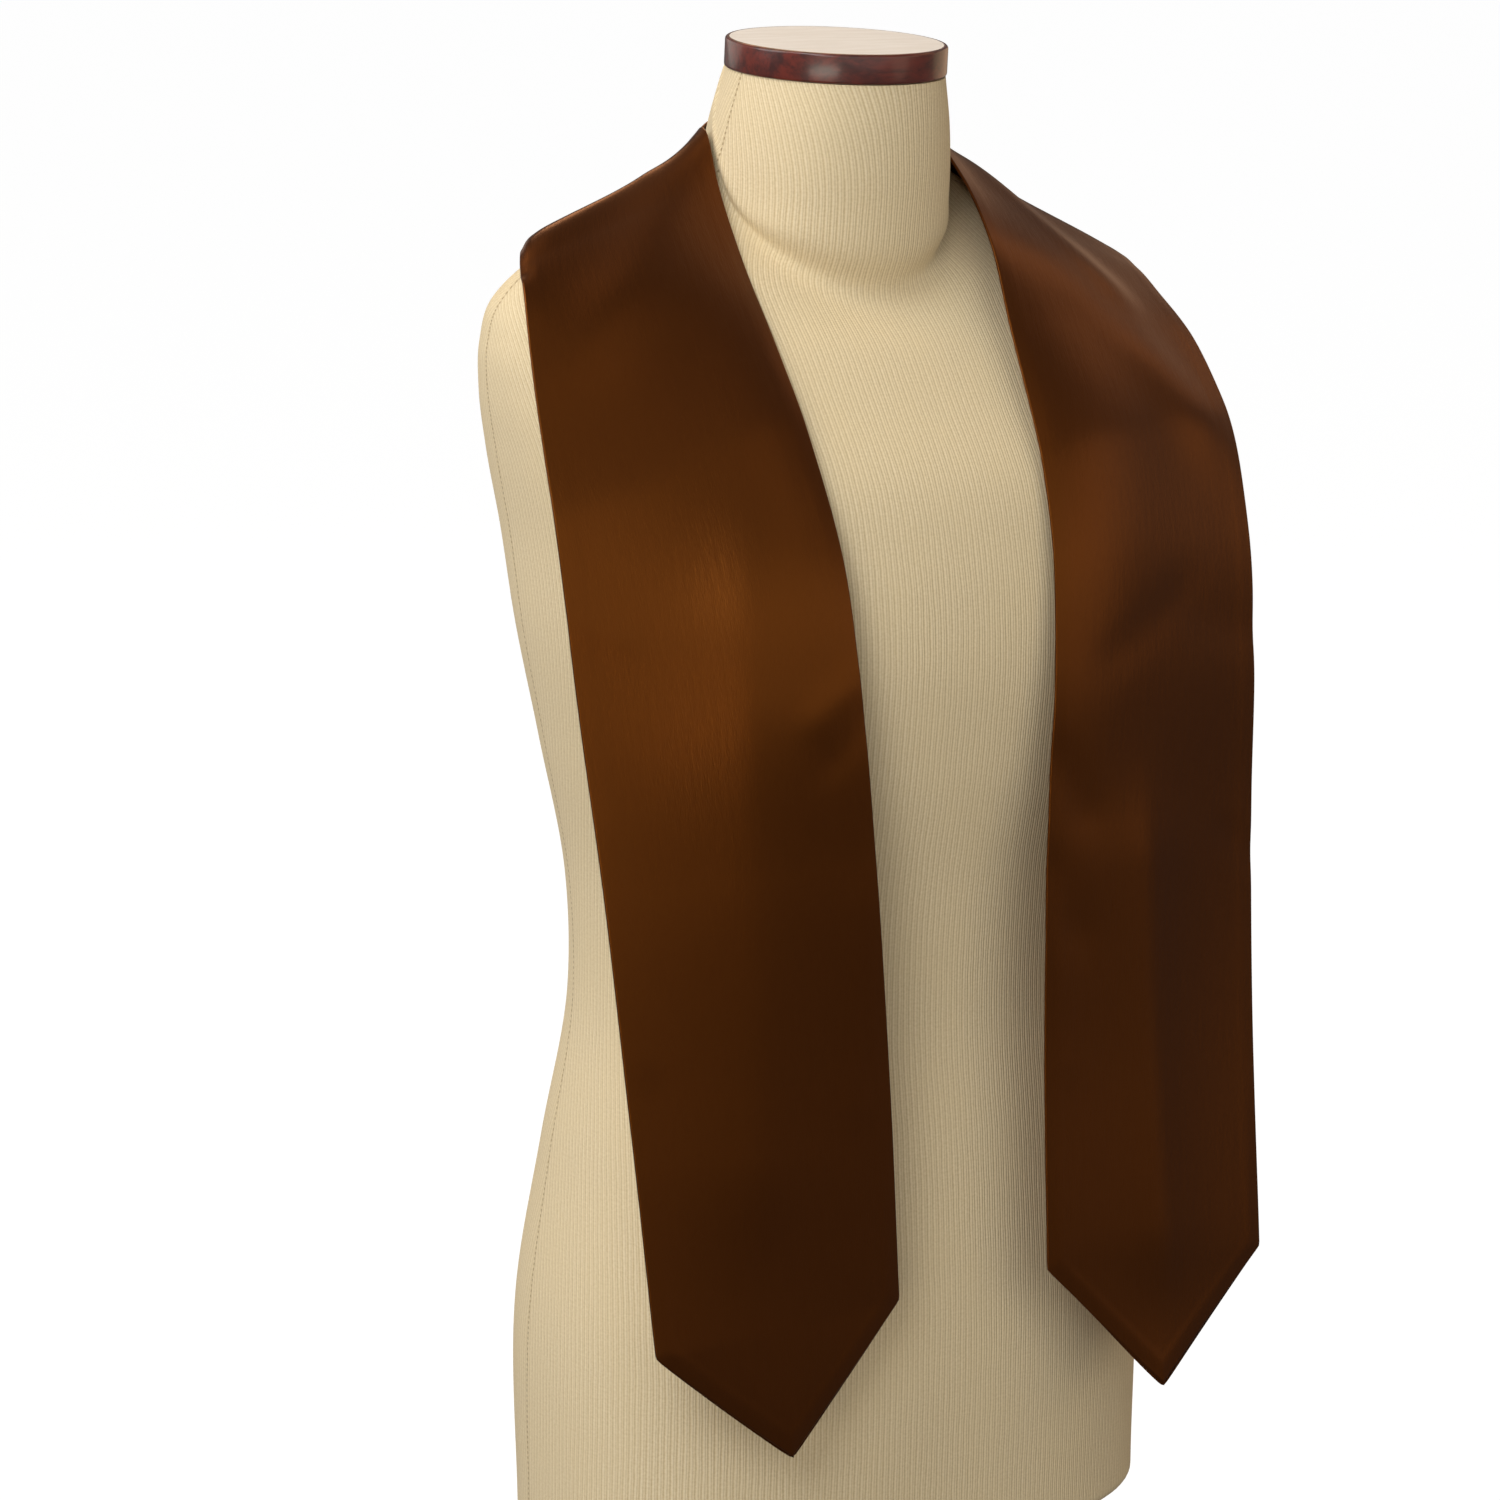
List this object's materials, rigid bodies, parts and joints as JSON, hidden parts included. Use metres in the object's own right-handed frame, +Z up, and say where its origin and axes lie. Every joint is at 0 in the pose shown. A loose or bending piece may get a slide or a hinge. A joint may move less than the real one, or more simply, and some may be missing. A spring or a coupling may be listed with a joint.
{
  "type": "graduation stole on a dress form",
  "caption": "Satin graduation stole with pointed ends and a seam at the centre back, worn round the neck of a limbless dress form on a round wooden base.",
  "frame": {"origin": "centre of the round base's underside, straight below the middle of the neck cap", "axes": "+Z up, -Y the way the dress form faces, +X its left"},
  "size_m": [0.3979, 0.3, 0.9228],
  "materials": {
    "stole_satin": "brown satin with a soft broad sheen",
    "cream_jersey": "fine ribbed knit, matt",
    "cherry_wood": "dark cherry stain under gloss lacquer"
  },
  "bodies": {
    "root": {"stole_right": "stole_satin", "stole_left": "stole_satin", "dress_form": "cream_jersey", "neck_cap": "cherry_wood", "pole": "cherry_wood", "base": "cherry_wood"}
  },
  "joints": []
}
